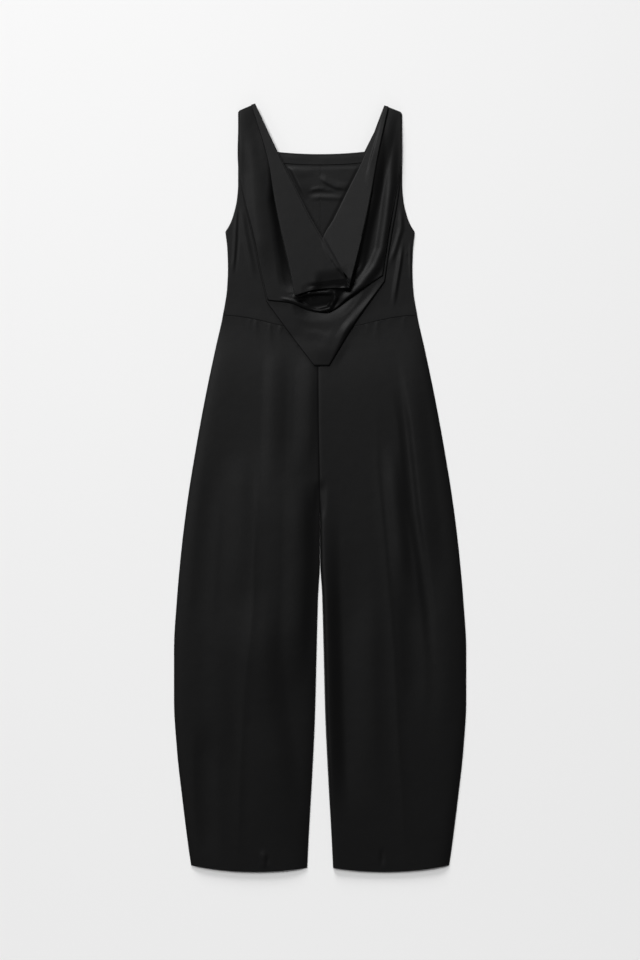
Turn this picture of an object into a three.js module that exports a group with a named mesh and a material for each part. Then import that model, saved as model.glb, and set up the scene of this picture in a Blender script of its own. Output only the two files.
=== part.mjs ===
// A sleeveless jumpsuit laid flat, face up. Its front bodice is one piece of cloth whose deep cowl neck
// falls in three folded loops, the last of them a pointed drop over the waist seam. The legs are full
// and curve in to the ankle. Millimetres: +X to the viewer's right, +Y to the shoulders, +Z up from the
// surface that it lies on. The origin is on that surface, under the middle of the garment.
import * as THREE from "three";

// Driving sizes
const CLOTH = 1.0; // wall of every panel
const SEAM = 0.3; // space between pieces that are sewn together
const WAIST_SEAM = 1.0; // a little more along the curved waist
const WAIST_SIDE_Y = 319; // waist seam at the side seam
const WAIST_HALF = 179.7;
const WAIST_DIP = 27.7; // how far the waist seam drops in the middle
const ARMPIT_Y = 473.5;
const CROTCH_Y = -44;
const HEM_SIDE_Y = -697.5; // hem at the outer side of the leg
const HEM_INNER_Y = -702;
const HEM_SAG = 9.6; // the hem bows out between the two
const BACK_NECK_Y = 622; // square back neckline
const BACK_NECK_DIP = 4.5;
const BACK_NECK_HALF = 82;
const FACING_DEPTH = 20; // facing inside the back neckline
const FACING_HALF = 88;

// Outlines. Each row gives a half width at a height, and a smooth curve runs through the rows.
const ARMHOLE = [
  { y: 710, half: 151.5 },
  { y: 562, half: 151.5 },
  { y: 533, half: 153.7 },
  { y: 503, half: 160.7 },
  { y: 488, half: 166.4 },
  { y: 473.5, half: 175 },
];
const SIDE_SEAM = [
  { y: 473.5, half: 175 },
  { y: 440, half: 171.3 },
  { y: 405, half: 170.3 },
  { y: 370, half: 171.8 },
  { y: 319, half: 179.7 },
  { y: 255, half: 193.9 },
  { y: 163, half: 213 },
  { y: 70, half: 230 },
  { y: -22, half: 244.8 },
  { y: -115, half: 256.4 },
  { y: -207, half: 264.7 },
  { y: -300, half: 270 },
  { y: -392, half: 270 },
  { y: -485, half: 264.5 },
  { y: -578, half: 254.2 },
  { y: -670, half: 242.5 },
  { y: -698, half: 238.3 },
];
const INSEAM = [
  { y: -44, half: 0.3 },
  { y: -137, half: 0.6 },
  { y: -198, half: 3.9 },
  { y: -309, half: 6.9 },
  { y: -420, half: 9.7 },
  { y: -531, half: 14.9 },
  { y: -642, half: 21.3 },
  { y: -702, half: 24.2 },
];
// The centre front seam leans a little to the viewer's left towards the waist.
const CENTRE_SEAM = [
  { y: 319, lean: -3.5 },
  { y: 150, lean: -3 },
  { y: 20, lean: -1 },
  { y: -44, lean: 0 },
];
// The strap of the back bodice, from the corner of the neckline to the shoulder seam.
const STRAPS = {
  left: {
    neck: [-82, 622], bend: [-98.5, 660], inner: [-112.5, 694],
    peak: [-122, 709.5], outer: [-151.5, 695],
  },
  right: {
    neck: [82, 622], bend: [101, 660], inner: [114, 694],
    peak: [120.5, 707], outer: [151.5, 692.5],
  },
};

// The front bodice, from shoulder to shoulder round the drape. A row is a station on that way, and a
// column is a line of the cloth at that station: the neck edge, the fold of the neck loop (a), the
// middle loop (b) and the drop (c), the hidden turns between them, and the panel's sewn edge.
const DRAPE = [
  {
    at: "left shoulder", neck: [-119.5, 708.8], a: [-127, 706.5], ab: [-123, 708],
    b: [-149, 696.5], bc: [-125, 707.5], c: [-150, 696], cd: [-125, 707.5], edge: [-151.5, 695],
  },
  {
    at: "left strap", neck: [-67.5, 597.5], a: [-94.5, 597.5], ab: [-76, 597.5],
    b: [-149, 584.5], bc: [-96, 584.5], c: [-150, 584.5], cd: [-96, 584.5], edge: [-151.5, 590],
  },
  {
    at: "left chest", neck: [-35, 533], a: [-84, 533], ab: [-59, 531],
    b: [-138, 527], bc: [-100, 527], c: [-139.5, 526.5], cd: [-96, 527], edge: [-153.7, 533],
  },
  {
    at: "left armpit", neck: [-3, 473.5], a: [-72, 473.5], ab: [-46, 472],
    b: [-125, 473.5], bc: [-92.5, 472], c: [-126.5, 472.5], cd: [-87, 472], edge: [-175, 473.5],
  },
  {
    at: "left rib", neck: [26, 423.5], a: [-58.5, 414.5], ab: [-35, 418],
    b: [-111, 409], bc: [-83, 410.5], c: [-113, 407.5], cd: [-74, 410.5], edge: [-170.3, 412],
  },
  {
    at: "left corner", neck: [38, 403.5], a: [-46.5, 353.5], ab: [-26, 375.5],
    b: [-96.5, 347.5], bc: [-68.5, 362.5], c: [-98.5, 344], cd: [-52, 355], edge: [-179.7, 319],
  },
  {
    at: "left low", neck: [45, 391.5], a: [-15, 363.5], ab: [-7.5, 379],
    b: [-52, 341.5], bc: [-42.5, 359], c: [-55.5, 285], cd: [-44.5, 314.5], edge: [-92, 305],
  },
  {
    at: "left tip", neck: [49, 382], a: [18.5, 368], ab: [15, 383],
    b: [-15.5, 328], bc: [-15, 348], c: [-11, 226.5], cd: [-15, 307], edge: [-22, 292],
  },
  {
    at: "right tip", neck: [52.5, 374], a: [53.5, 368], ab: [35, 383],
    b: [15.5, 326], bc: [13, 348], c: [16.5, 226.5], cd: [18.5, 307], edge: [22, 292],
  },
  {
    at: "right low", neck: [51, 386], a: [57, 382], ab: [42.5, 390.5],
    b: [55.5, 353.5], bc: [40.5, 364.5], c: [66.5, 309], cd: [48, 318], edge: [92, 305],
  },
  {
    at: "right corner", neck: [30, 409], a: [61, 397], ab: [44.5, 410.5],
    b: [115.5, 393], bc: [87, 403.5], c: [119, 382], cd: [77.5, 355], edge: [179.7, 319],
  },
  {
    at: "right rib", neck: [5.5, 457], a: [71, 436.5], ab: [52, 442],
    b: [121.5, 436.5], bc: [94.5, 440.5], c: [126.5, 433], cd: [85, 418], edge: [170.3, 412],
  },
  {
    at: "right armpit", neck: [26, 496.5], a: [83, 486.5], ab: [63, 492],
    b: [127.5, 477.5], bc: [100, 477.5], c: [133, 473.5], cd: [90.5, 473.5], edge: [175, 473.5],
  },
  {
    at: "right chest", neck: [51, 547.5], a: [93.5, 538.5], ab: [76, 540],
    b: [138, 534.5], bc: [105.5, 533], c: [142.5, 527], cd: [100, 529], edge: [153.7, 533],
  },
  {
    at: "right strap", neck: [75, 595.5], a: [103.5, 597.5], ab: [92.5, 595.5],
    b: [147.5, 588.5], bc: [103.5, 592], c: [149, 584.5], cd: [102, 588.5], edge: [151.5, 590],
  },
  {
    at: "right shoulder", neck: [118.5, 705.5], a: [126, 703.5], ab: [122, 705],
    b: [148.5, 694.5], bc: [124.5, 704], c: [150, 694], cd: [124.5, 703.5], edge: [151.5, 692.5],
  },
];
// Stations where a line turns sharply instead of curving.
const SHARP = { neck: [8], a: [5, 8], b: [5, 10], c: [5, 7, 8, 10], ab: [], bc: [], cd: [] };
const TIP_STATION = 8; // the neck loop crosses over itself here
const LAST_STATION = DRAPE.length - 1;

// The strips of cloth between those lines, the top one first, and how finely each is divided.
const STRIPS = [
  { name: "neck loop", from: "neck", to: "a", steps: 4 },
  { name: "neck return", from: "a", to: "ab", steps: 1 },
  { name: "middle loop", from: "ab", to: "b", steps: 6 },
  { name: "middle return", from: "b", to: "bc", steps: 1 },
  { name: "drop", from: "bc", to: "c", steps: 5 },
  { name: "drop return", from: "c", to: "cd", steps: 1 },
  { name: "side panels", from: "cd", to: "edge", steps: 9 },
];
const STATION_STEPS = 3;
const LAYER_GAP = 0.9; // air between one strip and what it lies on
const LAPEL_GAP = 1.2; // more of it where the neck loop crosses itself

// Soft ridges that lift the cloth of a strip along a path.
const BODICE_RIDGES = [
  {
    on: "middle loop", lift: 7, width: 9,
    path: [[-92, 352], [-62, 352], [-34, 342], [-6, 334], [18, 337], [46, 353], [74, 379], [104, 398]],
  },
  {
    on: "middle loop", lift: 6, width: 16,
    path: [[-133, 670], [-135, 590], [-122, 516], [-109, 430], [-92, 372]],
  },
  {
    on: "middle loop", lift: 8, width: 11,
    path: [[131, 643], [124, 562], [115.5, 496], [109, 443], [95, 416], [73, 388]],
  },
  { on: "neck loop", lift: 5, width: 18, path: [[-30, 372], [-2, 388], [24, 402], [34, 392]] },
  { on: "neck loop", lift: 5, width: 16, path: [[120, 690], [97, 610], [84, 530], [71, 455], [60, 400]] },
  { on: "neck loop", lift: 3, width: 16, path: [[-112, 660], [-84, 575], [-70, 500], [-50, 410]] },
  { on: "drop", lift: 8, width: 12, path: [[110, 382], [88, 355], [70, 328], [50, 308], [20, 282]] },
  { on: "drop", lift: 3, width: 12, path: [[-40, 286], [-10, 282], [12, 278]] },
  { on: "side panels", lift: 3, width: 9, path: [[-150, 520], [-147, 450], [-156, 390]] },
  { on: "side panels", lift: 4, width: 9, path: [[160, 470], [146, 405], [136, 350]] },
  { on: "side panels", lift: 3, width: 8, path: [[172, 440], [164, 385], [166, 335]] },
];
// The same on the legs, with troughs where the lift is below nothing.
const LEG_RIDGES = [
  { lift: 1.2, width: 5, path: [[-112, 40], [-121, -130], [-136, -300], [-146, -500], [-152, -708]] },
  { lift: 1.2, width: 5, path: [[108, 50], [124, -155], [141, -380], [150, -540], [161, -708]] },
  { lift: 1.6, width: 20, path: [[170, 176], [173, 90], [190, -27], [200, -120]] },
  { lift: -1.3, width: 16, path: [[146, 188], [149, 90], [176, -57], [195, -192], [213, -400]] },
  { lift: 1.4, width: 16, path: [[121, 34], [133, -27], [146, -107]] },
  { lift: -1.4, width: 15, path: [[-32, -20], [-20, -131], [-26, -285]] },
  { lift: -1.3, width: 18, path: [[-75, -223], [-63, -438], [-44, -518]] },
  { lift: -1.4, width: 12, path: [[23, -303], [32, -438], [35, -518]] },
  { lift: 1.2, width: 26, path: [[-190, 100], [-215, -150], [-225, -420], [-205, -640]] },
  { lift: 1.0, width: 24, path: [[225, -250], [228, -450], [205, -650]] },
];
const LEG_LOFT = 1.5; // how far the front leg stands off the back one away from its seams
const LEG_LOFT_REACH = 22;
const LEG_AIR_MOST = 3.8;
const LEG_DOWN_STEPS = 30;
const LEG_ACROSS_STEPS = 14;

// Small helpers
const clamp = (v, low, high) => Math.min(high, Math.max(low, v));
const mix = (a, b, t) => a + (b - a) * t;
const mixPoint = (p, q, t) => [mix(p[0], q[0], t), mix(p[1], q[1], t)];
const distance = (p, q) => Math.hypot(p[0] - q[0], p[1] - q[1]);
const soften = (t) => {
  const s = clamp(t, 0, 1);
  return s * s * (3 - 2 * s);
};

// A monotone cubic through a table's column, as a function of its y.
function curveOf(rows, column) {
  const table = [...rows].sort((p, q) => p.y - q.y);
  const slope = table.slice(1).map((row, i) => (row[column] - table[i][column]) / (row.y - table[i].y));
  const tangent = table.map((_, i) => {
    if (i === 0) return slope[0];
    if (i === table.length - 1) return slope[i - 1];
    return slope[i - 1] * slope[i] <= 0 ? 0 : (2 * slope[i - 1] * slope[i]) / (slope[i - 1] + slope[i]);
  });
  return (y) => {
    const at = clamp(y, table[0].y, table[table.length - 1].y);
    const i = Math.max(0, table.findIndex((row, k) => k > 0 && at <= row.y) - 1);
    const span = table[i + 1].y - table[i].y;
    const t = (at - table[i].y) / span;
    return hermite(table[i][column], table[i + 1][column], tangent[i] * span, tangent[i + 1] * span, t);
  };
}

function hermite(p, q, leave, arrive, t) {
  const t2 = t * t;
  const t3 = t2 * t;
  return (2 * t3 - 3 * t2 + 1) * p + (t3 - 2 * t2 + t) * leave + (3 * t2 - 2 * t3) * q + (t3 - t2) * arrive;
}

const armholeHalf = curveOf(ARMHOLE, "half");
const sideHalf = curveOf(SIDE_SEAM, "half");
const inseamHalf = curveOf(INSEAM, "half");
const centreLean = curveOf(CENTRE_SEAM, "lean");
const waistY = (x) => {
  const share = clamp(x, -WAIST_HALF, WAIST_HALF) / WAIST_HALF;
  return WAIST_SIDE_Y - WAIST_DIP * (0.5 + 0.5 * Math.cos(Math.PI * share));
};
const backNeckY = (x) => BACK_NECK_Y - BACK_NECK_DIP * (1 - (x / BACK_NECK_HALF) ** 2);

function hemY(x) {
  const inner = inseamHalf(HEM_INNER_Y);
  const t = clamp((Math.abs(x) - inner) / (sideHalf(HEM_SIDE_Y) - inner), 0, 1);
  return mix(HEM_INNER_Y, HEM_SIDE_Y, t) - 4 * HEM_SAG * t * (1 - t);
}

// How far a point lies from a path, and where along it the nearest place is, from 0 to 1.
function nearPath(x, y, path) {
  let best = { away: Infinity, along: 0 };
  const parts = path.length - 1;
  for (let i = 0; i < parts; i++) {
    const [ax, ay] = path[i];
    const [bx, by] = path[i + 1];
    const run = (bx - ax) ** 2 + (by - ay) ** 2;
    const t = clamp(((x - ax) * (bx - ax) + (y - ay) * (by - ay)) / run, 0, 1);
    const away = Math.hypot(x - mix(ax, bx, t), y - mix(ay, by, t));
    if (away < best.away) best = { away, along: (i + t) / parts };
  }
  return best;
}

// The lift of all ridges at a point. Each is a soft bell across and fades at its ends.
function liftOf(ridges, x, y) {
  return ridges.reduce((sum, ridge) => {
    const { away, along } = nearPath(x, y, ridge.path);
    const fade = soften(along * 5 + 0.35) * soften((1 - along) * 5 + 0.35);
    return sum + ridge.lift * fade * Math.exp(-((away / ridge.width) ** 2));
  }, 0);
}

// A closed wall whose middle surface is a grid of points. The grid's normals point to its face.
function wall(grid, thickness = CLOTH) {
  const rows = grid.length;
  const columns = grid[0].length;
  const at = (i, j) => grid[clamp(i, 0, rows - 1)][clamp(j, 0, columns - 1)];
  const face = [];
  const back = [];
  for (let i = 0; i < rows; i++) {
    for (let j = 0; j < columns; j++) {
      const along = at(i + 1, j).clone().sub(at(i - 1, j));
      const across = at(i, j + 1).clone().sub(at(i, j - 1));
      const half = across.cross(along).normalize().multiplyScalar(thickness / 2);
      face.push(at(i, j).clone().add(half));
      back.push(at(i, j).clone().sub(half));
    }
  }
  return closeGrid(face, back, rows, columns);
}

// Joins a face grid and a back grid into one closed body, with a rim all round.
function closeGrid(face, back, rows, columns) {
  const points = [...face, ...back];
  const F = (i, j) => i * columns + j;
  const B = (i, j) => face.length + F(i, j);
  const index = [];
  const quad = (a, b, c, d) => index.push(a, b, c, a, c, d);
  for (let i = 0; i < rows - 1; i++) {
    for (let j = 0; j < columns - 1; j++) {
      quad(F(i, j), F(i, j + 1), F(i + 1, j + 1), F(i + 1, j));
      quad(B(i, j), B(i + 1, j), B(i + 1, j + 1), B(i, j + 1));
    }
  }
  for (let j = 0; j < columns - 1; j++) {
    quad(F(0, j + 1), F(0, j), B(0, j), B(0, j + 1));
    quad(F(rows - 1, j), F(rows - 1, j + 1), B(rows - 1, j + 1), B(rows - 1, j));
  }
  for (let i = 0; i < rows - 1; i++) {
    quad(F(i, 0), F(i + 1, 0), B(i + 1, 0), B(i, 0));
    quad(F(i + 1, columns - 1), F(i, columns - 1), B(i, columns - 1), B(i + 1, columns - 1));
  }
  const geometry = new THREE.BufferGeometry().setFromPoints(points);
  geometry.setIndex(index);
  geometry.computeVertexNormals();
  return geometry;
}

// Flat slabs for what lies on the surface or on another panel
function slab(outline, bottom, thickness = CLOTH) {
  const shape = new THREE.Shape(outline.map(([x, y]) => new THREE.Vector2(x, y)));
  const plain = { depth: thickness, bevelEnabled: false, curveSegments: 1 };
  const geometry = new THREE.ExtrudeGeometry(shape, plain);
  return geometry.translate(0, 0, bottom);
}

// Evenly spaced values from one to another, both included.
const spread = (from, to, steps) => Array.from({ length: steps + 1 }, (_, i) => mix(from, to, i / steps));

function backBodice(side) {
  const strap = side < 0 ? STRAPS.left : STRAPS.right;
  const centre = (side * SEAM) / 2;
  const waist = spread(centre, side * WAIST_HALF, 10).map((x) => [x, waistY(x) + WAIST_SEAM / 2]);
  const flank = spread(WAIST_SIDE_Y, ARMPIT_Y, 6).slice(1).map((y) => [side * sideHalf(y), y]);
  const armhole = spread(ARMPIT_Y, strap.outer[1], 12).slice(1).map((y) => [side * armholeHalf(y), y]);
  const neck = spread(strap.neck[0], centre, 5).map((x) => [x, backNeckY(x)]);
  return slab([...waist, ...flank, ...armhole, strap.peak, strap.inner, strap.bend, ...neck], 0);
}

function backFacing() {
  const across = spread(-FACING_HALF, FACING_HALF, 10);
  const top = across.map((x) => [x, backNeckY(x) - SEAM]);
  const bottom = [...across].reverse().map((x) => [x, backNeckY(x) - FACING_DEPTH]);
  return slab([...top, ...bottom], CLOTH + SEAM);
}

// The inner line of a leg: the centre seam down to the crotch, and the inseam below it.
function innerX(side, y) {
  return y > CROTCH_Y ? centreLean(y) + (side * SEAM) / 2 : side * inseamHalf(y);
}

function backLeg(side) {
  const ys = spread(WAIST_SIDE_Y, HEM_SIDE_Y, 26);
  const outer = ys.map((y) => [side * sideHalf(y), y]);
  const innerYs = [...ys].reverse().slice(0, -1).filter((y) => y < WAIST_SIDE_Y - WAIST_DIP - 1);
  const inner = innerYs.map((y) => [innerX(side, y), y]);
  const hemXs = spread(side * sideHalf(HEM_SIDE_Y), innerX(side, HEM_INNER_Y), 10).slice(1);
  const hem = hemXs.map((x) => [x, hemY(x)]);
  const waistXs = spread(innerX(side, WAIST_SIDE_Y), side * WAIST_HALF, 10).slice(0, -1);
  const waist = waistXs.map((x) => [x, waistY(x) - WAIST_SEAM / 2]);
  outer[0][1] -= WAIST_SEAM / 2;
  return slab([...outer, ...hem, ...inner, ...waist], 0);
}

// A place on the front leg, from the waist (down 0) to the hem (down 1) and from the side seam
// (across 0) to the inner line (across 1).
function legPlace(side, down, across) {
  const y = mix(WAIST_SIDE_Y - WAIST_SEAM / 2, HEM_SIDE_Y, down);
  const x = mix(side * sideHalf(y), innerX(side, y), across);
  const nearWaist = soften(1 - down * 4);
  const nearHem = soften(down * 6 - 5);
  return [x, y + nearWaist * (waistY(x) - WAIST_SIDE_Y) + nearHem * (hemY(x) - HEM_SIDE_Y)];
}

// The air under the front leg: nearly nothing at its seams, soft folds between them.
function legAir(side, x, y) {
  const fromSide = sideHalf(y) - Math.abs(x);
  const fromInner = Math.abs(x - innerX(side, y));
  const fromWaist = Math.max(0, waistY(x) - y);
  const inside = 1 - Math.exp(-Math.min(fromSide, fromInner, fromWaist) / LEG_LOFT_REACH);
  return SEAM + clamp(LEG_LOFT + liftOf(LEG_RIDGES, x, y), 0, LEG_AIR_MOST) * inside;
}

function frontLeg(side) {
  const grid = spread(0, 1, LEG_DOWN_STEPS).map((down) =>
    spread(0, 1, LEG_ACROSS_STEPS).map((across) => {
      const [x, y] = legPlace(side, down, side < 0 ? across : 1 - across);
      return new THREE.Vector3(x, y, CLOTH + legAir(side, x, y) + CLOTH / 2);
    }),
  );
  return wall(grid.reverse());
}

// A map of how high the cloth already lies over the bodice, on which the next strip is laid.
const MAP = { left: -198, bottom: 203, cell: 3, across: 133, down: 172 };
const SETTLE_CELLS = 3; // how many cells a strip takes to climb over an edge beneath it

class Heights {
  constructor(fill) {
    this.z = new Float64Array(MAP.across * MAP.down);
    for (let j = 0; j < MAP.down; j++) {
      for (let i = 0; i < MAP.across; i++) {
        this.z[j * MAP.across + i] = fill(MAP.left + i * MAP.cell, MAP.bottom + j * MAP.cell);
      }
    }
  }

  // Raises the cells round a point to z.
  stamp(x, y, z) {
    const i = clamp(Math.round((x - MAP.left) / MAP.cell), 0, MAP.across - 1);
    const j = clamp(Math.round((y - MAP.bottom) / MAP.cell), 0, MAP.down - 1);
    const k = j * MAP.across + i;
    this.z[k] = Math.max(this.z[k], z);
  }

  at(x, y) {
    const u = clamp((x - MAP.left) / MAP.cell, 0, MAP.across - 1.001);
    const v = clamp((y - MAP.bottom) / MAP.cell, 0, MAP.down - 1.001);
    const i = Math.floor(u);
    const j = Math.floor(v);
    const k = j * MAP.across + i;
    const low = mix(this.z[k], this.z[k + 1], u - i);
    const high = mix(this.z[k + MAP.across], this.z[k + MAP.across + 1], u - i);
    return mix(low, high, v - j);
  }

  // A soft surface that is nowhere below this one: the highest within reach, then the mean of those.
  draped() {
    const made = new Heights(() => 0);
    const highest = (values) => Math.max(...values);
    const mean = (values) => values.reduce((sum, value) => sum + value, 0) / values.length;
    made.z = sweep(sweep(sweep(sweep(this.z, highest, true), highest, false), mean, true), mean, false);
    return made;
  }
}

// Combines each cell with its neighbours within reach, along the rows or along the columns.
function sweep(z, combine, alongRows) {
  const made = new Float64Array(z.length);
  const reach = spread(-SETTLE_CELLS, SETTLE_CELLS, 2 * SETTLE_CELLS);
  for (let j = 0; j < MAP.down; j++) {
    for (let i = 0; i < MAP.across; i++) {
      const values = reach.map((d) => {
        const column = alongRows ? clamp(i + d, 0, MAP.across - 1) : i;
        const row = alongRows ? j : clamp(j + d, 0, MAP.down - 1);
        return z[row * MAP.across + column];
      });
      made[j * MAP.across + i] = combine(values);
    }
  }
  return made;
}

// The place of a line of the drape at a station, which may lie between two rows of the table.
function linePlace(line, station) {
  const i = Math.min(Math.floor(station), LAST_STATION - 1);
  const t = station - i;
  if (line === "edge") return sewnEdge(mixPoint(DRAPE[i].edge, DRAPE[i + 1].edge, t), i);
  const at = (k) => DRAPE[clamp(k, 0, LAST_STATION)][line];
  const length = Math.max(distance(at(i), at(i + 1)), 1e-6);
  const leave = lineHeading(line, i, 1);
  const arrive = lineHeading(line, i + 1, -1);
  const along = (axis) =>
    hermite(at(i)[axis], at(i + 1)[axis], leave[axis] * length, arrive[axis] * length, t);
  return [along(0), along(1)];
}

// The heading of a line at a row of the table. At a sharp turn it is that of the stretch on one side.
function lineHeading(line, row, side) {
  const at = (k) => DRAPE[clamp(k, 0, LAST_STATION)][line];
  const headingOf = (p, q) => {
    const length = Math.max(distance(p, q), 1e-6);
    return { length, x: (q[0] - p[0]) / length, y: (q[1] - p[1]) / length };
  };
  const before = headingOf(at(row - 1), at(row));
  const after = headingOf(at(row), at(row + 1));
  if (row <= 0 || (SHARP[line].includes(row) && side > 0)) return [after.x, after.y];
  if (row >= LAST_STATION || SHARP[line].includes(row)) return [before.x, before.y];
  const whole = before.length + after.length;
  return [
    (before.x * after.length + after.x * before.length) / whole,
    (before.y * after.length + after.y * before.length) / whole,
  ];
}

// Moves a point of the panel's edge onto the armhole, the side seam or the waist seam.
function sewnEdge([x, y], stretch) {
  const fromEnd = Math.min(stretch, LAST_STATION - 1 - stretch);
  if (fromEnd < 3) return [Math.sign(x) * armholeHalf(y), y];
  if (fromEnd < 5) return [Math.sign(x) * sideHalf(y), y];
  return [x, waistY(x) + WAIST_SEAM / 2];
}

// The strip's height at a place, with the ridges that belong to it.
function layStrip(strip, below) {
  const ridges = BODICE_RIDGES.filter((ridge) => ridge.on === strip.name);
  const gap = strip.name === "side panels" ? SEAM : LAYER_GAP;
  return (x, y) => below.at(x, y) + gap + CLOTH / 2 + Math.max(0, liftOf(ridges, x, y));
}

// Raises the map to a strip's face over a range of stations.
function stampStrip(map, strip, height, from, to) {
  const alongSteps = Math.ceil((to - from) * 60);
  const acrossSteps = 40;
  for (const station of spread(from, to, alongSteps)) {
    const start = linePlace(strip.from, station);
    const end = linePlace(strip.to, station);
    for (const t of spread(0, 1, acrossSteps)) {
      const [x, y] = mixPoint(start, end, t);
      map.stamp(x, y, height(x, y, station) + CLOTH / 2);
    }
  }
}

// What the front bodice is laid on: the back bodice with its facing, and the front legs.
function firstHeights() {
  return new Heights((x, y) => {
    if (y < waistY(x)) return CLOTH + legAir(Math.sign(x) || 1, x, y) + CLOTH;
    const beside = Math.abs(x) < FACING_HALF + 3;
    const onFacing = beside && y < BACK_NECK_Y + 3 && y > BACK_NECK_Y - FACING_DEPTH - 8;
    return onFacing ? 2 * CLOTH + SEAM : CLOTH;
  });
}

// Lays the strips from the bottom one up and returns each one's height as a function of the place.
function settledHeights() {
  const map = firstHeights();
  const heights = new Map();
  for (const strip of [...STRIPS].reverse()) {
    const seated = layStrip(strip, strip.name === "side panels" ? sideBed(map) : map.draped());
    heights.set(strip.name, seated);
    if (strip.name === "neck loop") {
      stampStrip(map, strip, seated, TIP_STATION, LAST_STATION);
      const crossing = layStrip(strip, map.draped());
      const crossed = (x, y) => crossing(x, y) + LAPEL_GAP;
      const pastTip = (station) => soften((station - TIP_STATION) * 3 + 0.5);
      heights.set(strip.name, (x, y, station) => mix(crossed(x, y), seated(x, y), pastTip(station)));
    } else {
      stampStrip(map, strip, seated, 0, LAST_STATION);
    }
  }
  return heights;
}

// The side panels end at the waist seam beside the legs, so they lie on the back bodice alone.
function sideBed(map) {
  const bed = new Heights(() => CLOTH);
  const rowY = (k) => MAP.bottom + Math.floor(k / MAP.across) * MAP.cell;
  bed.z = bed.z.map((z, k) => (rowY(k) > BACK_NECK_Y - FACING_DEPTH - 12 ? map.z[k] : z));
  return bed.draped();
}

// One row of the folded sheet: every strip in turn, with a rounded turn between each two.
function sheetRow(station, heights) {
  const row = [];
  STRIPS.forEach((strip, k) => {
    const start = linePlace(strip.from, station);
    const end = linePlace(strip.to, station);
    const length = Math.max(distance(start, end), 1e-6);
    const height = (t) => heights.get(strip.name)(...mixPoint(start, end, t), station);
    const above = k > 0 ? turnHeight(k - 1, station, heights) : null;
    const below = k < STRIPS.length - 1 ? turnHeight(k, station, heights) : null;
    const first = above ? clamp(above.radius / length, 0.02, 0.3) : 0;
    const last = below ? 1 - clamp(below.radius / length, 0.02, 0.3) : 1;
    for (const t of spread(first, last, strip.steps)) {
      row.push(new THREE.Vector3(...mixPoint(start, end, t), height(t)));
    }
    if (below) row.push(new THREE.Vector3(...end, below.middle));
  });
  return row;
}

// The middle height and the radius of the turn below strip k.
function turnHeight(k, station, heights) {
  const place = linePlace(STRIPS[k].to, station);
  const upper = heights.get(STRIPS[k].name)(...place, station);
  const lower = heights.get(STRIPS[k + 1].name)(...place, station);
  return { middle: (upper + lower) / 2, radius: (upper - lower) / 2 };
}

function frontBodice() {
  const heights = settledHeights();
  const stations = spread(0, LAST_STATION, LAST_STATION * STATION_STEPS);
  return wall(stations.map((station) => sheetRow(station, heights)));
}

// The garment
const blackCloth = new THREE.MeshStandardMaterial({ color: 0x17171a, roughness: 0.62, metalness: 0 });
const liningCloth = new THREE.MeshStandardMaterial({ color: 0x1b1b1d, roughness: 0.5, metalness: 0 });

function piece(name, geometry, material = blackCloth) {
  const mesh = new THREE.Mesh(geometry, material.clone());
  mesh.name = name;
  return mesh;
}

const jumpsuit = new THREE.Group();
jumpsuit.add(
  piece("back_bodice_left", backBodice(-1)),
  piece("back_bodice_right", backBodice(1)),
  piece("back_neck_facing", backFacing(), liningCloth),
  piece("back_leg_left", backLeg(-1)),
  piece("back_leg_right", backLeg(1)),
  piece("front_leg_left", frontLeg(-1)),
  piece("front_leg_right", frontLeg(1)),
  piece("front_bodice", frontBodice()),
);

export default jumpsuit;
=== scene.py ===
# Dresses the jumpsuit: fine cloth shells on the form of each solid, with the folds that the
# photograph shows, a woven black cloth, soft studio light and a camera straight above.
import math

import bpy
import numpy as np
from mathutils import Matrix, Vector


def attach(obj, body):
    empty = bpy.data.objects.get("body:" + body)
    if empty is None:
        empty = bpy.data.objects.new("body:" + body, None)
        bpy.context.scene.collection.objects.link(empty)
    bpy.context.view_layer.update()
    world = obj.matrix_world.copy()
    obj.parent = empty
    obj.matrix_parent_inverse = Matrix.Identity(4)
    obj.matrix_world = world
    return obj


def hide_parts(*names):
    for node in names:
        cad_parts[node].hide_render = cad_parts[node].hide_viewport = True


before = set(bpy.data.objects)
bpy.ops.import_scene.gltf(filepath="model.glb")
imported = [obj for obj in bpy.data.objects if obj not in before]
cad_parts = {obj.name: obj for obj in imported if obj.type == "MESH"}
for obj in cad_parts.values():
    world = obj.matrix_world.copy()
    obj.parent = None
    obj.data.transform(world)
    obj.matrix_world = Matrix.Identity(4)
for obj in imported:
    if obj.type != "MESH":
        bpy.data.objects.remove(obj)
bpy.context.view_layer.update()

MM = 0.001
PIXEL = 1.85  # millimetres to a pixel of the photograph
CENTRE_PX = (320, 488)  # where the frame's origin falls in it


def px(*points):
    """Places in the photograph as places on the garment, in millimetres."""
    return [((x - CENTRE_PX[0]) * PIXEL, (CENTRE_PX[1] - y) * PIXEL) for x, y in points]


# Driving sizes, in millimetres: the outline is that of the solids
CLOTH = 1.0
SEAM = 0.06  # sewn pieces nearly touch, so that no floor shows between them
FRONT_LEG_CLOTH = 0.9
BACK_CLOTH = 0.95
BODICE_CLOTH = 0.8
FACING_CLOTH = 0.7
WAIST_SIDE_Y = 319
WAIST_HALF = 179.7
WAIST_DIP = 27.7
ARMPIT_Y = 473.5
CROTCH_Y = -44
HEM_SIDE_Y = -697.5
HEM_INNER_Y = -702
HEM_SAG = 9.6
BACK_NECK_Y = 622
BACK_NECK_DIP = 4.5
BACK_NECK_HALF = 82
FACING_DEPTH = 20
FACING_HALF = 88
EDGE_SHARE = 0.5  # thickness of a pressed edge, as a share of the cloth's

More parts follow.
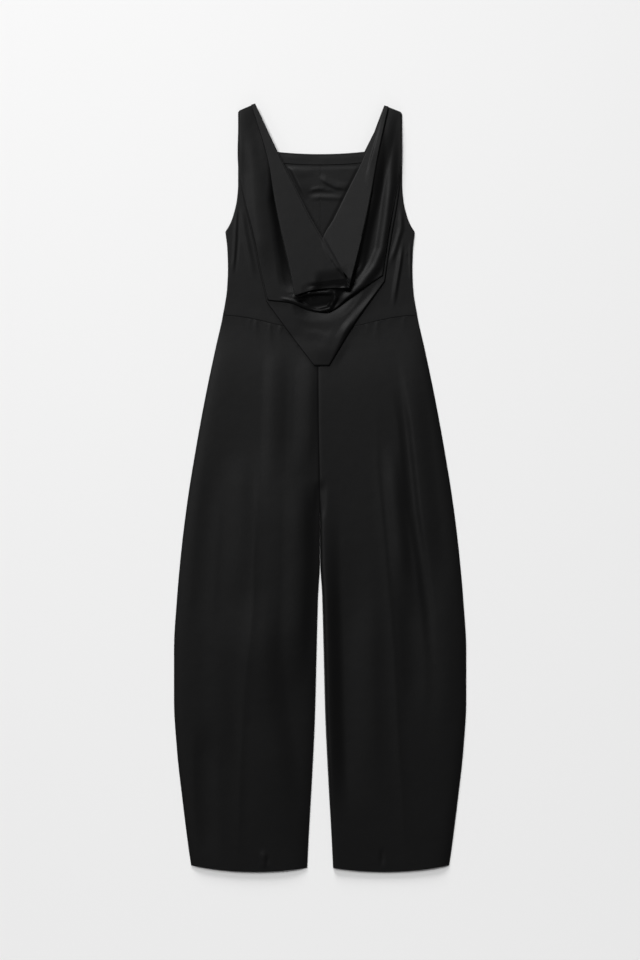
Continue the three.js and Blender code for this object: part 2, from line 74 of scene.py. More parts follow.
# The air under the front legs: its height, and how far from each seam it takes to open
LEG_LOFT = 3.6
LEG_AIR_LEAST = 0.3
LEG_SEAT = 0.3 * SEAM
SIDE_REACH = 9
INNER_REACH = {-1: 13, 1: 1.6}  # by side: the left inseam lies low, the right one stands up
WAIST_REACH = 75
WAIST_SHARE = 0.03
CENTRE_DIP = 0.25
CENTRE_REACH = 1.5
CROTCH_BLEND = 60
LEG_RIPPLE = 0.7
LEG_RIPPLE_SIZE = 150
GATHER_START = 3
GATHER_WIDTH = 2.2
GATHER_SPREAD = 0.16  # how much wider a gather gets for each millimetre down
GATHER_SPREAD_END = 60

# How the strips of the front bodice come to rest on one another
LAYER_GAP = 0.35
LAPEL_GAP = 0.6
SOFT_SEAT = 0.8
TIGHT_REACH = 2  # cells of the map
STAMP_STEPS = 90  # places a station, and across a strip, that leave their height on the map
CROSSING_RATE = 3  # one half of the neck loop gives way to the other within a third of a station
INSET_MOST = 0.3  # of a strip's width, for a rounded turn

# The back bodice stands up a little where it shows in the neck, and lies flat where it is covered
BACK_LIFT = 0.6
SHOWN_REACH = 8
# How far round the facing the bed of the front bodice is raised
FACING_MARGIN = 3
FACING_BELOW = 8

# Outlines: rows of (y, half width), and of (y, lean) for the centre front seam
ARMHOLE = [(710, 151.5), (562, 151.5), (533, 153.7), (503, 160.7), (488, 166.4), (473.5, 175)]
SIDE_SEAM = [
    (473.5, 175), (440, 171.3), (405, 170.3), (370, 171.8), (319, 179.7), (255, 193.9),
    (163, 213), (70, 230), (-22, 244.8), (-115, 256.4), (-207, 264.7), (-300, 270),
    (-392, 270), (-485, 264.5), (-578, 254.2), (-670, 242.5), (-698, 238.3),
]
INSEAM = [
    (-44, 0.3), (-137, 0.6), (-198, 3.9), (-309, 6.9), (-420, 9.7), (-531, 14.9),
    (-642, 21.3), (-702, 24.2),
]
CENTRE_SEAM = [(319, -3.5), (150, -3), (20, -1), (-44, 0)]
# The strap of the back bodice, from the corner of the neckline to the shoulder seam
STRAPS = {
    -1: [(-82, 622), (-98.5, 660), (-112.5, 694), (-122, 709.5), (-151.5, 695)],
    1: [(82, 622), (101, 660), (114, 694), (120.5, 707), (151.5, 692.5)],
}

# The front bodice: a row is a station on the way from shoulder to shoulder round the drape. Its
# columns are the neck edge, the neck loop's fold, a hidden turn, the middle loop's fold, a hidden
# turn, the drop's fold, a hidden turn, and the panel's sewn edge.
LINES = ["neck", "a", "ab", "b", "bc", "c", "cd", "edge"]
DRAPE = [
    [(-119.5, 708.8), (-127, 706.5), (-123, 708), (-149, 696.5),
     (-125, 707.5), (-150, 696), (-125, 707.5), (-151.5, 695)],
    [(-67.5, 597.5), (-94.5, 597.5), (-76, 597.5), (-149, 584.5),
     (-96, 584.5), (-150, 584.5), (-96, 584.5), (-151.5, 590)],
    [(-35, 533), (-84, 533), (-59, 531), (-138, 527),
     (-100, 527), (-139.5, 526.5), (-96, 527), (-153.7, 533)],
    [(-3, 473.5), (-72, 473.5), (-46, 472), (-125, 473.5),
     (-92.5, 472), (-126.5, 472.5), (-87, 472), (-175, 473.5)],
    [(26, 423.5), (-58.5, 414.5), (-35, 418), (-111, 409),
     (-83, 410.5), (-113, 407.5), (-74, 410.5), (-170.3, 412)],
    [(38, 403.5), (-46.5, 353.5), (-26, 375.5), (-96.5, 347.5),
     (-68.5, 362.5), (-98.5, 344), (-52, 355), (-179.7, 319)],
    [(45, 391.5), (-15, 363.5), (-7.5, 379), (-52, 341.5),
     (-42.5, 359), (-55.5, 285), (-44.5, 314.5), (-92, 305)],
    [(49, 382), (18.5, 368), (15, 383), (-15.5, 328),
     (-15, 348), (-11, 226.5), (-15, 307), (-22, 292)],
    [(52.5, 374), (53.5, 368), (35, 383), (15.5, 326),
     (13, 348), (16.5, 226.5), (18.5, 307), (22, 292)],
    [(51, 386), (57, 382), (42.5, 390.5), (55.5, 353.5),
     (40.5, 364.5), (66.5, 309), (48, 318), (92, 305)],
    [(30, 409), (61, 397), (44.5, 410.5), (115.5, 393),
     (87, 403.5), (119, 382), (77.5, 355), (179.7, 319)],
    [(5.5, 457), (71, 436.5), (52, 442), (121.5, 436.5),
     (94.5, 440.5), (126.5, 433), (85, 418), (170.3, 412)],
    [(26, 496.5), (83, 486.5), (63, 492), (127.5, 477.5),
     (100, 477.5), (133, 473.5), (90.5, 473.5), (175, 473.5)],
    [(51, 547.5), (93.5, 538.5), (76, 540), (138, 534.5),
     (105.5, 533), (142.5, 527), (100, 529), (153.7, 533)],
    [(75, 595.5), (103.5, 597.5), (92.5, 595.5), (147.5, 588.5),
     (103.5, 592), (149, 584.5), (102, 588.5), (151.5, 590)],
    [(118.5, 705.5), (126, 703.5), (122, 705), (148.5, 694.5),
     (124.5, 704), (150, 694), (124.5, 703.5), (151.5, 692.5)],
]
SHARP = {"neck": [8], "a": [5, 8], "b": [5, 10], "c": [5, 7, 8, 10], "ab": [], "bc": [], "cd": []}
TIP_STATION = 8
LAST_STATION = len(DRAPE) - 1
# Stations from either shoulder to the armpit, and to the waist's end at the side seam
ARMPIT_STATION = 3
WAIST_STATION = 5

# The neck loop lies nearly plane on each side: height at a place, and its rise along x and y
LAPEL_PLANES = {-1: (29, 20, 370, -0.035, -0.058), 1: (28.5, 53, 370, 0.035, -0.052)}
# Strips of that cloth from the top one down: name, first line, last line, steps across, and over
# how many cells of the map the strip bridges what is under it
STRIPS = [
    ("neck loop", "neck", "a", 44, 5),
    ("neck return", "a", "ab", 3, 3),
    ("middle loop", "ab", "b", 48, 5),
    ("middle return", "b", "bc", 3, 3),
    ("drop", "bc", "c", 44, 6),
    ("drop return", "c", "cd", 3, 3),
    ("side panels", "cd", "edge", 48, 4),
]
TURN_STEPS = 5
STATION_STEPS = 14
PITCH = 0.8  # thickness that one layer of the drape takes up
PRESS = 2.2  # how far in a pressed fold is still round
NECK_PRESS = 0.9

# Creases of the bodice by strip: lift (below nothing for a trough), width on the left of the path
# and on its right as one walks along it, all in millimetres, and the path in the photograph.
BODICE_CREASES = {
    "neck loop": [
        (1.0, 4.5, 3, px((258, 108), (271, 137), (279, 155), (309, 217), (334, 260), (347, 284))),
        (-4, 36, 10, px((316, 291), (325, 290), (338, 288), (354, 284))),
        (-6, 15, 10, px((302, 295), (318, 291), (334, 289), (356, 286))),
    ],
    "middle loop": [
        (2.2, 4.5, 4.5, px((280, 298.5), (288, 300), (301, 304), (316, 311), (331, 310))),
        (2.8, 36, 20, px((254, 130), (254, 169), (256, 209), (261, 245), (267, 275))),
        (4, 22, 14, px((368, 195), (361, 225), (354, 260), (350, 284))),
        (8.5, 26, 18, px((387, 108), (378, 150), (371, 185), (363, 220), (355, 260), (350, 284))),
        (5, 16, 15, px((391.5, 105), (391.5, 150), (390, 187), (386, 220), (381.5, 250),
                       (375, 266), (362, 284), (350, 296), (339, 307), (331, 311))),
        (16, 14, 34, px((300, 293), (310, 290), (325, 288), (348, 286))),
        (2.5, 36, 10, px((242, 85), (241, 130), (243, 175))),
        (9, 6.5, 6, px((293, 299), (300, 296.5), (309, 294.5), (320, 293.5), (338, 293.5))),
        (8, 6.5, 6, px((336, 290), (335, 299), (332, 304), (329, 309), (316, 312))),
    ],
    "drop": [
        (2.2, 9, 14, px((390, 274), (375, 298), (366, 308), (357, 317), (346, 331), (339, 342))),
        (2, 9, 80, px((352, 318), (344, 332), (336, 348), (327, 366))),
        (0.6, 9, 18, px((300, 333), (308, 333), (318, 333.5), (327, 337), (335, 331))),
    ],
    "side panels": [
        (0.6, 25, 4, px((200, 314), (223, 315), (240, 316.5), (262, 321), (285, 326.5), (305, 330))),
        (0.6, 25, 4, px((335, 330), (355, 326.5), (378, 321), (400, 316.5), (417, 315), (440, 314))),
        (1.4, 9, 7, px((240, 205), (244, 230), (249, 255), (255, 280))),
        (1.3, 4, 4, px((237, 206), (235.5, 232), (234, 258), (232, 275))),
        (-1.2, 3, 3, px((238.5, 208), (238.5, 240), (235.5, 272))),
        (2.4, 4, 8, px((403, 242), (400, 265), (397, 282), (393, 308))),
        (1.8, 7, 6, px((401, 205), (401, 228), (395, 249), (389, 266))),
        (1.0, 3, 2.5, px((410, 240), (410, 262), (410.5, 285))),
        (0.8, 2.5, 2.5, px((404, 255), (409, 251.5))),
    ],
}
# Folds of the legs, the bulge under the drop's edge and the marks at the hems: the same columns
LEG_CREASES = [
    (2.4, 34, 15, px((402, 350), (411, 413), (418, 469), (424, 526), (430, 590))),
    (-2.2, 14, 15, px((398, 386), (405, 426), (413, 509), (422, 559), (428, 612), (432, 670))),
    (3.2, 22, 22, px((390, 440), (395, 502), (399, 545), (404, 600))),
    (-1.6, 26, 26, px((409, 590), (412, 640), (415, 720))),
    (4.4, 80, 110, px((281, 440), (277, 510), (275, 580), (274, 640), (278, 720))),
    (3.8, 26, 40, px((302, 475), (303, 520), (303, 570), (300, 625), (296, 690))),
    (4.0, 44, 70, px((262, 590), (262, 650), (266, 705), (276, 765), (287, 850))),
    (6.0, 34, 10, px((320, 480), (323, 580), (326, 650), (327, 710), (329, 765), (333, 820))),
    (-3.2, 60, 30, px((340, 540), (344, 660), (345, 725), (348, 815))),
    (1.8, 20, 30, px((310, 335), (309, 400), (306, 480))),
    (1.6, 30, 22, px((274, 330), (273, 400), (270, 500))),
    (1.6, 30, 34, px((238, 450), (240, 520), (238, 610))),
    (1.2, 36, 36, px((224, 600), (220, 680), (222, 770))),
    (-2.0, 26, 26, px((206, 720), (205, 790), (210, 865))),
    (1.6, 40, 40, px((364, 600), (364, 690), (368, 790))),
    (1.2, 30, 30, px((442, 560), (446, 660), (442, 760))),
    (3.0, 16, 14, px((376, 292), (356, 321), (342, 344), (328, 367))),
    (-1.2, 26, 26, px((215, 450), (205, 550), (200, 640))),
    (-2.4, 12, 13.5, px((321, 480), (320, 520))),
    (1.2, 10, 8, px((262, 850), (264, 860), (266, 868))),
    (-1.0, 6, 6, px((267, 856), (267, 866))),
    (-0.9, 6, 6, px((382, 848), (382, 866))),
]
# Pressed creases down the front of each leg, sharp on top: the same columns
PRESSED_CREASES = [
    (0.9, 18, 21, px((261, 440), (256, 516), (254, 560), (253, 612),
                     (245.6, 675), (241, 751), (239, 824), (238, 880))),
    (1.0, 21, 18, px((376, 400), (377, 466), (382, 519), (387, 572),
                     (394, 658), (398, 741), (402, 800), (406, 880))),
]
# Small gathers just under the waist seam: x in the photograph, length and height in millimetres
GATHERS = [
    (241, 12, 0.3), (250, 16, 0.5), (256, 24, 0.9), (266, 13, 0.5), (270, 30, 1.0), (280.5, 16, 0.9),
    (368, 13, 0.6), (377, 26, 0.8), (389, 15, 0.4), (404, 20, 0.5),
]
# Wrinkles of the back bodice inside the neck
BACK_CREASES = [
    (0.6, 5, 7.5, px((309, 198), (320, 197), (332, 197.5), (347, 198.5))),
    (0.6, 4.5, 4.5, px((310, 190), (318, 188.5), (326, 189))),
    (-0.6, 6, 6, px((306, 194), (320, 193), (340, 194))),
    (1.2, 12, 6, px((319, 176), (326, 182), (336, 187), (350, 189))),
    (2.0, 45, 30, px((268, 160), (286, 182), (298, 205))),
    (0.3, 7.5, 12, px((288, 168), (300, 172), (316, 172))),
    (0.3, 7.5, 7.5, px((330, 166), (345, 167), (362, 165))),
]
FACING_CREASES = BACK_CREASES[-2:]
# The open neck over the back, edge by edge: rows of (y, x)
NECK_OPEN_LEFT = [(457, 6.5), (709, -119)]
NECK_OPEN_RIGHT = [(457, 5.5), (548, 51), (596, 75), (706, 118)]
# A crease begins and ends at a low share of its lift, and has all of it a third of the way in
FADE_RATE = 3
FADE_START = 0.1


# Smooth curves and paths
def hermite(p, q, leave, arrive, t):
    t2 = t * t
    t3 = t2 * t
    return (2 * t3 - 3 * t2 + 1) * p + (t3 - 2 * t2 + t) * leave + (3 * t2 - 2 * t3) * q + (t3 - t2) * arrive


def soften(t):
    s = np.clip(t, 0, 1)
    return s * s * (3 - 2 * s)


def mix(a, b, t):
    return a + (b - a) * t


def curve_of(rows):
    """A monotone cubic through rows of (y, value), as a function of y."""
    ys, values = np.array(sorted(rows), float).T
    slope = np.diff(values) / np.diff(ys)
    inner = slope[:-1] * slope[1:]
    total = np.where(inner > 0, slope[:-1] + slope[1:], 1)
    tangent = np.concatenate([slope[:1], np.where(inner > 0, 2 * inner / total, 0), slope[-1:]])

    def value(y):
        at = np.clip(np.asarray(y, float), ys[0], ys[-1])
        i = np.clip(np.searchsorted(ys, at, side="right") - 1, 0, len(ys) - 2)
        span = ys[i + 1] - ys[i]
        t = (at - ys[i]) / span
        return hermite(values[i], values[i + 1], tangent[i] * span, tangent[i + 1] * span, t)

    return value


armhole_half = curve_of(ARMHOLE)
side_half = curve_of(SIDE_SEAM)
inseam_half = curve_of(INSEAM)
centre_lean = curve_of(CENTRE_SEAM)


def waist_y(x):
    return WAIST_SIDE_Y - WAIST_DIP * (0.5 + 0.5 * np.cos(np.pi * np.clip(x / WAIST_HALF, -1, 1)))


def back_neck_y(x):
    return BACK_NECK_Y - BACK_NECK_DIP * (1 - (x / BACK_NECK_HALF) ** 2)


def hem_y(x):
    inner = inseam_half(HEM_INNER_Y)
    t = np.clip((np.abs(x) - inner) / (side_half(HEM_SIDE_Y) - inner), 0, 1)
    return mix(HEM_INNER_Y, HEM_SIDE_Y, t) - 4 * HEM_SAG * t * (1 - t)


def inner_x(side, y):
    """The inner line of a leg: the centre seam down to the crotch, and the inseam below it."""
    return np.where(y > CROTCH_Y, centre_lean(y) + side * SEAM / 2, side * inseam_half(y))


def near_path(x, y, path):
    """How far places lie from a path, which side of it, and how far along it, from 0 to 1."""
    away = np.full(np.shape(x), np.inf)
    along = np.zeros(np.shape(x))
    left = np.zeros(np.shape(x), bool)
    parts = len(path) - 1
    for i, ((ax, ay), (bx, by)) in enumerate(zip(path, path[1:])):
        run = (bx - ax) ** 2 + (by - ay) ** 2
        t = np.clip(((x - ax) * (bx - ax) + (y - ay) * (by - ay)) / run, 0, 1)
        d = np.hypot(x - mix(ax, bx, t), y - mix(ay, by, t))
        nearer = d < away
        away = np.where(nearer, d, away)
        along = np.where(nearer, (i + t) / parts, along)
        left = np.where(nearer, (bx - ax) * (y - ay) - (by - ay) * (x - ax) > 0, left)
    return away, left, along


def relief(creases, x, y, sharp=False):
    """The lift of all creases at places. Each fades at its ends, and is a soft bell or a peak across."""
    total = np.zeros(np.shape(x))
    for lift, left_width, right_width, path in creases:
        away, left, along = near_path(x, y, path)
        width = np.where(left, left_width, right_width)
        fade = soften(along * FADE_RATE + FADE_START) * soften((1 - along) * FADE_RATE + FADE_START)
        across = np.minimum(away / width, 1)
        total += lift * fade * ((1 - across) ** 2 if sharp else (1 - across ** 2) ** 2)
    return total


def ripple(x, y, size, seed):
    """A slow unevenness between -1 and 1, as pressed cloth has, with its waves longer along y."""
    rng = np.random.default_rng(seed)
    waves = 6
    total = np.zeros(np.shape(x))
    for _ in range(waves):
        angle, phase, stretch = rng.uniform(0, 2 * np.pi, 3)
        k = 2 * np.pi / (size * (0.7 + 0.1 * stretch))
        total += np.sin(k * (x * np.cos(angle) + 0.35 * y * np.sin(angle)) + phase)
    return total / waves


# The map of heights on which the strips are laid: its corner and the size of a cell in
# millimetres, and how many cells it has along y and x
MAP_LEFT = -198.0
MAP_BOTTOM = 203.0
CELL = 2.0
MAP_SHAPE = (258, 199)


def map_places():
    x = MAP_LEFT + np.arange(MAP_SHAPE[1]) * CELL
    y = MAP_BOTTOM + np.arange(MAP_SHAPE[0]) * CELL
    return np.meshgrid(x, y)


def map_at(z, x, y):
    u = np.clip((x - MAP_LEFT) / CELL, 0, MAP_SHAPE[1] - 1.001)
    v = np.clip((y - MAP_BOTTOM) / CELL, 0, MAP_SHAPE[0] - 1.001)
    i, j = u.astype(int), v.astype(int)
    low = mix(z[j, i], z[j, i + 1], u - i)
    high = mix(z[j + 1, i], z[j + 1, i + 1], u - i)
    return mix(low, high, v - j)


def sweep(z, combine, axis, reach):
    pad = [(reach, reach) if k == axis else (0, 0) for k in range(2)]
    windows = np.lib.stride_tricks.sliding_window_view(np.pad(z, pad, mode="edge"), 2 * reach + 1, axis)
    return combine(windows, axis=-1)


def draped(z, under, reach):
    """A soft surface over z: the highest within reach under a strip, then twice their mean."""
    z = np.where(under, z, 0.0)
    share = under.astype(float)
    for axis in (0, 1):
        z = sweep(z, np.max, axis, reach)
        share = sweep(share, np.max, axis, reach)
    z = z * share
    for _ in range(2):
        for axis in (0, 1):
            z = sweep(z, np.mean, axis, max(1, reach // 2))
            share = sweep(share, np.mean, axis, max(1, reach // 2))
    return z / np.maximum(share, 1e-6)


# Lines of the drape
def row_headings(points, row):
    def heading(p, q):
        length = max(math.dist(p, q), 1e-6)
        return length, np.subtract(q, p) / length

    before = heading(points[max(row - 1, 0)], points[row])
    after = heading(points[row], points[min(row + 1, LAST_STATION)])
    return before, after


def line_curve(line):
    """The place of a line of the drape, as a function of the station."""
    points = [row[LINES.index(line)] for row in DRAPE]
    leave, arrive = [], []
    for row in range(LAST_STATION + 1):
        (near, before), (far, after) = row_headings(points, row)
        smooth = (before * far + after * near) / (near + far)
        sharp = row in SHARP[line]
        leave.append(after if row == 0 or sharp else smooth)
        arrive.append(before if row == LAST_STATION or sharp else smooth)
    points, leave, arrive = np.array(points, float), np.array(leave), np.array(arrive)

    def place(station):
        i = np.clip(station.astype(int), 0, LAST_STATION - 1)
        t = (station - i)[..., None]
        span = np.maximum(np.linalg.norm(points[i + 1] - points[i], axis=-1), 1e-6)[..., None]
        return hermite(points[i], points[i + 1], leave[i] * span, arrive[i + 1] * span, t)

    return place


def edge_place(station):
    """The panel's sewn edge, set on the armhole, the side seam or the waist seam."""
    points = np.array([row[-1] for row in DRAPE], float)
    i = np.clip(station.astype(int), 0, LAST_STATION - 1)
    x, y = mix(points[i], points[i + 1], (station - i)[..., None]).T
    from_end = np.minimum(i, LAST_STATION - 1 - i)
    half = np.where(from_end < ARMPIT_STATION, armhole_half(y), side_half(y))
    sewn_x = np.where(from_end < WAIST_STATION, np.sign(x) * half, x)
    sewn_y = np.where(from_end < WAIST_STATION, y, waist_y(x) + SEAM / 2)
    return np.stack([sewn_x, sewn_y], -1)


CURVES = {line: line_curve(line) for line in LINES[:-1]}
CURVES["edge"] = edge_place


# The legs
def leg_air(side, x, y):
    """The air under the front leg: nearly nothing at its seams, soft folds between them."""
    from_side = side_half(y) - np.abs(x)
    from_inner = np.abs(x - inner_x(side, y))
    from_waist = np.maximum(0, waist_y(x) - y)
    at_inseam = 1 - np.exp(-from_inner / np.where(side < 0, INNER_REACH[-1], INNER_REACH[1]))
    at_centre = 1 - CENTRE_DIP * np.exp(-from_inner / CENTRE_REACH)
    inner_share = mix(at_inseam, at_centre, soften((y - CROTCH_Y) / CROTCH_BLEND))
    at_waist = mix(WAIST_SHARE, 1, 1 - np.exp(-((from_waist / WAIST_REACH) ** 2)))
    share = inner_share * at_waist * (1 - np.exp(-from_side / SIDE_REACH))
    creases = relief(LEG_CREASES, x, y) + relief(PRESSED_CREASES, x, y, sharp=True)
    folds = creases + LEG_RIPPLE * ripple(x, y, LEG_RIPPLE_SIZE, seed=4)
    air = LEG_AIR_LEAST + np.logaddexp(0, LEG_LOFT + folds)
    return LEG_SEAT + air * share + gather_relief(x, y)


def gather_relief(x, y):
    """The gathers, which widen and fade on their way down from the waist seam."""
    total = np.zeros(np.shape(x))
    down = waist_y(x) - y
    spread = GATHER_WIDTH + GATHER_SPREAD * np.clip(down, 0, GATHER_SPREAD_END)
    for at, length, height in GATHERS:
        centre = (at - CENTRE_PX[0]) * PIXEL
        fade = soften(down / GATHER_START) * np.exp(-((down / length) ** 2))
        total += 0.5 * height * fade * np.exp(-(((x - centre) / spread) ** 2))
    return total


# Meshes
SHARP_ANGLE = 48


def object_of(name, points, faces):
    """A mesh object, smooth but for edges sharper than a pressed fold."""
    mesh = bpy.data.meshes.new(name)
    mesh.from_pydata((points * MM).tolist(), [], faces.tolist())
    mesh.polygons.foreach_set("use_smooth", [True] * len(mesh.polygons))
    mesh.set_sharp_from_angle(angle=math.radians(SHARP_ANGLE))
    piece = bpy.data.objects.new(name, mesh)
    bpy.context.scene.collection.objects.link(piece)
    return piece


def grid_quads(rows, columns, first=0):
    """The faces of a grid of points, numbered row by row from first."""
    at = first + np.arange(rows * columns).reshape(rows, columns)
    return np.stack([at[:-1, :-1], at[:-1, 1:], at[1:, 1:], at[1:, :-1]], -1).reshape(-1, 4)


def point_normals(points, quads):
    a, b, c, d = (points[quads[:, k]] for k in range(4))
    face = np.cross(c - a, d - b)
    normal = np.zeros(points.shape)
    for k in range(4):
        np.add.at(normal, quads[:, k], face)
    return normal / np.maximum(np.linalg.norm(normal, axis=-1, keepdims=True), 1e-9)


def border_edges(quads):
    """The directed edges that only one face has."""
    edges = np.concatenate([quads[:, [k, (k + 1) % 4]] for k in range(4)])
    _, first, uses = np.unique(np.sort(edges, axis=1), axis=0, return_index=True, return_counts=True)
    return edges[first[uses == 1]]


def cloth_shell(name, middle, quads, thickness):
    """A closed shell of cloth on both sides of a middle surface, thinner at its pressed edges."""
    border = border_edges(quads)
    half = np.full(len(middle), thickness / 2)
    half[np.unique(border)] *= EDGE_SHARE
    offset = point_normals(middle, quads) * half[:, None]
    count = len(middle)
    rim = np.stack([border[:, 1], border[:, 0], border[:, 0] + count, border[:, 1] + count], -1)
    faces = np.concatenate([quads, quads[:, ::-1] + count, rim])
    return object_of(name, np.concatenate([middle + offset, middle - offset]), faces)


def face_up(points, quads):
    return quads if point_normals(points, quads)[:, 2].mean() > 0 else quads[:, ::-1]


# The front bodice
def strip_height(strip, bed, lapel=0):
    """A strip's height: it bridges its bed loosely, with its creases, and never sinks into it.

    A lapel of -1 or 1 lies on the plane of that side instead of bridging its bed.
    """
    creases = BODICE_CREASES.get(strip[0], [])
    under = footprint(strip)
    loose = draped(bed, under, strip[-1])
    tight = draped(bed, under, TIGHT_REACH)

    def height(x, y):
        base = map_at(loose, x, y)
        if lapel:
            z, at_x, at_y, rise_x, rise_y = LAPEL_PLANES[lapel]
            base = z + rise_x * (x - at_x) + rise_y * (y - at_y)
        free = base + relief(creases, x, y)
        seated = map_at(tight, x, y)
        over = (free - seated) / SOFT_SEAT
        return seated + SOFT_SEAT * np.logaddexp(0, over) + LAYER_GAP + PITCH / 2

    return height


def strip_places(strip, low, high):
    """Places all over a strip between two stations, and the cells of the map that they are in."""
    start_line, end_line = strip[1:3]
    station = np.linspace(low, high, int((high - low) * STAMP_STEPS))
    t = np.linspace(0, 1, STAMP_STEPS)[None, :, None]
    places = mix(CURVES[start_line](station)[:, None], CURVES[end_line](station)[:, None], t)
    x, y = places[..., 0], places[..., 1]
    i = np.clip(np.round((x - MAP_LEFT) / CELL).astype(int), 0, MAP_SHAPE[1] - 1)
    j = np.clip(np.round((y - MAP_BOTTOM) / CELL).astype(int), 0, MAP_SHAPE[0] - 1)
    return x, y, (j, i)


def footprint(strip):
    under = np.zeros(MAP_SHAPE, bool)
    under[strip_places(strip, 0, LAST_STATION)[-1]] = True
    return under


def stamp(z, strip, height, low, high):
    x, y, cells = strip_places(strip, low, high)
    np.maximum.at(z, cells, height(x, y) + PITCH / 2)


def first_map():
    """What the front bodice is laid on: the back bodice with its facing, and the front legs."""
    x, y = map_places()
    beside_facing = np.abs(x) < FACING_HALF + FACING_MARGIN
    below_neckline = y < BACK_NECK_Y + FACING_MARGIN
    on_facing = beside_facing & below_neckline & (y > BACK_NECK_Y - FACING_DEPTH - FACING_BELOW)
    legs = CLOTH + leg_air(np.where(x < 0, -1, 1), x, y) + CLOTH
    return np.where(y < waist_y(x) - 2 * CELL, legs, np.where(on_facing, 2 * CLOTH + SEAM, CLOTH))


def settled_heights():
    """Lays the strips from the bottom one up, and returns the height of each."""
    z = first_map()
    heights = {}
    for strip in reversed(STRIPS):
        name = strip[0]
        seated = strip_height(strip, z, lapel=int(name == "neck loop"))
        if name == "neck loop":
            stamp(z, strip, seated, TIP_STATION, LAST_STATION)
            crossing = strip_height(strip, z, lapel=-1)
            heights[name] = crossed_height(seated, crossing)
        else:
            stamp(z, strip, seated, 0, LAST_STATION)
            heights[name] = lambda x, y, station, seated=seated: seated(x, y)
    return heights


def crossed_height(seated, crossing):
    """The neck loop's height: over its other half before the tip, seated after it."""
    def height(x, y, station):
        past_tip = soften((station - TIP_STATION) * CROSSING_RATE + 0.5)
        return mix(crossing(x, y) + LAPEL_GAP, seated(x, y), past_tip)
    return height


def unit(v):
    return v / np.maximum(np.linalg.norm(v, axis=-1, keepdims=True), 1e-6)


def front_bodice():
    """One sheet from neck edge to sewn edge: every strip, and the rounded turns between them."""
    heights = settled_heights()
    station = np.linspace(0, LAST_STATION, LAST_STATION * STATION_STEPS + 1)
    columns = []
    ends = {line: CURVES[line](station) for line in LINES}
    for k, (name, start_line, end_line, steps, _) in enumerate(STRIPS):
        start, end = ends[start_line], ends[end_line]
        length = np.maximum(np.linalg.norm(end - start, axis=-1), 1e-6)
        first = turn_inset(k - 1, ends, heights, station) / length
        last = 1 - turn_inset(k, ends, heights, station) / length
        for t in np.linspace(0, 1, steps + 1):
            along = mix(np.clip(first, 0, INSET_MOST), np.clip(last, 1 - INSET_MOST, 1), t)
            place = mix(start, end, along[:, None])
            z = heights[name](place[:, 0], place[:, 1], station)
            columns.append(np.column_stack([place, z]))
        if k < len(STRIPS) - 1:
            columns.extend(turn(k, ends, heights, station))
    middle = np.stack(columns, 1)
    quads = grid_quads(*middle.shape[:2])
    return cloth_shell("front_bodice_cloth", middle.reshape(-1, 3), quads, BODICE_CLOTH)


def turn_levels(k, ends, heights, station):
    """The heights of strips k and k + 1 where one turns into the other."""
    place = ends[STRIPS[k][2]]
    upper = heights[STRIPS[k][0]](place[:, 0], place[:, 1], station)
    lower = heights[STRIPS[k + 1][0]](place[:, 0], place[:, 1], station)
    return upper, lower


def turn_inset(k, ends, heights, station):
    """How far in from the line the rounded turn between strips k and k + 1 begins."""
    if k < 0 or k >= len(STRIPS) - 1:
        return np.zeros(len(station))
    upper, lower = turn_levels(k, ends, heights, station)
    return np.minimum((upper - lower) / 2, NECK_PRESS if k == 0 else PRESS)


def turn(k, ends, heights, station):
    """The points of the rounded turn from strip k down to strip k + 1."""
    upper, lower = turn_levels(k, ends, heights, station)
    radius = (upper - lower) / 2
    place = ends[STRIPS[k][2]]
    above = place - ends[STRIPS[k][1]]
    below = place - ends[STRIPS[k + 1][2]]
    round_part = np.minimum(radius, NECK_PRESS if k == 0 else PRESS)
    inset_above = np.minimum(round_part, INSET_MOST * np.linalg.norm(above, axis=-1))
    inset_below = np.minimum(round_part, INSET_MOST * np.linalg.norm(below, axis=-1))
    points = []
    for t in np.linspace(0, 1, TURN_STEPS + 2)[1:-1]:
        angle = math.pi * (0.5 - t)
        inset = mix(inset_above[:, None] * unit(above), inset_below[:, None] * unit(below), t)
        z = (upper + lower) / 2 + radius * math.sin(angle)
        points.append(np.column_stack([place - inset * (1 - math.cos(angle)), z]))
    return points


# The other pieces
def side_name(side):
    return "left" if side < 0 else "right"


def edge_steps(count, close):
    """Even steps from 0 to 1, with closer ones at both ends for a pressed edge."""
    even = np.linspace(7 * close, 1 - 7 * close, count)
    return np.concatenate([[0, close, 3 * close], even, [1 - 3 * close, 1 - close, 1]])


def flat_piece(name, x, y, z, thickness):
    """A shell on a grid of places, face up."""
    points = np.stack([x, y, z], -1).reshape(-1, 3)
    quads = face_up(points, grid_quads(*x.shape))
    return cloth_shell(name, points, quads, thickness)


def leg_places(side, down, across):
    """Places on a leg. The waist seam bends its upper quarter and the hem its lowest sixth."""
    y = mix(WAIST_SIDE_Y - SEAM / 2, HEM_SIDE_Y, down)
    x = mix(side * side_half(y), inner_x(side, y), across)
    near_waist = soften(1 - down * 4)
    near_hem = soften(down * 6 - 5)
    return x, y + near_waist * (waist_y(x) - WAIST_SIDE_Y) + near_hem * (hem_y(x) - HEM_SIDE_Y)


def front_leg(side):
    x, y = leg_places(side, edge_steps(236, 0.0005)[:, None], edge_steps(84, 0.002)[None, :])
    z = CLOTH + leg_air(side, x, y) + CLOTH / 2
    return flat_piece("front_leg_" + side_name(side) + "_cloth", x, y, z, FRONT_LEG_CLOTH)


def back_leg(side):
    x, y = leg_places(side, edge_steps(100, 0.0005)[:, None], edge_steps(30, 0.002)[None, :])
    z = np.full(x.shape, CLOTH / 2)
    return flat_piece("back_leg_" + side_name(side) + "_cloth", x, y, z, BACK_CLOTH)


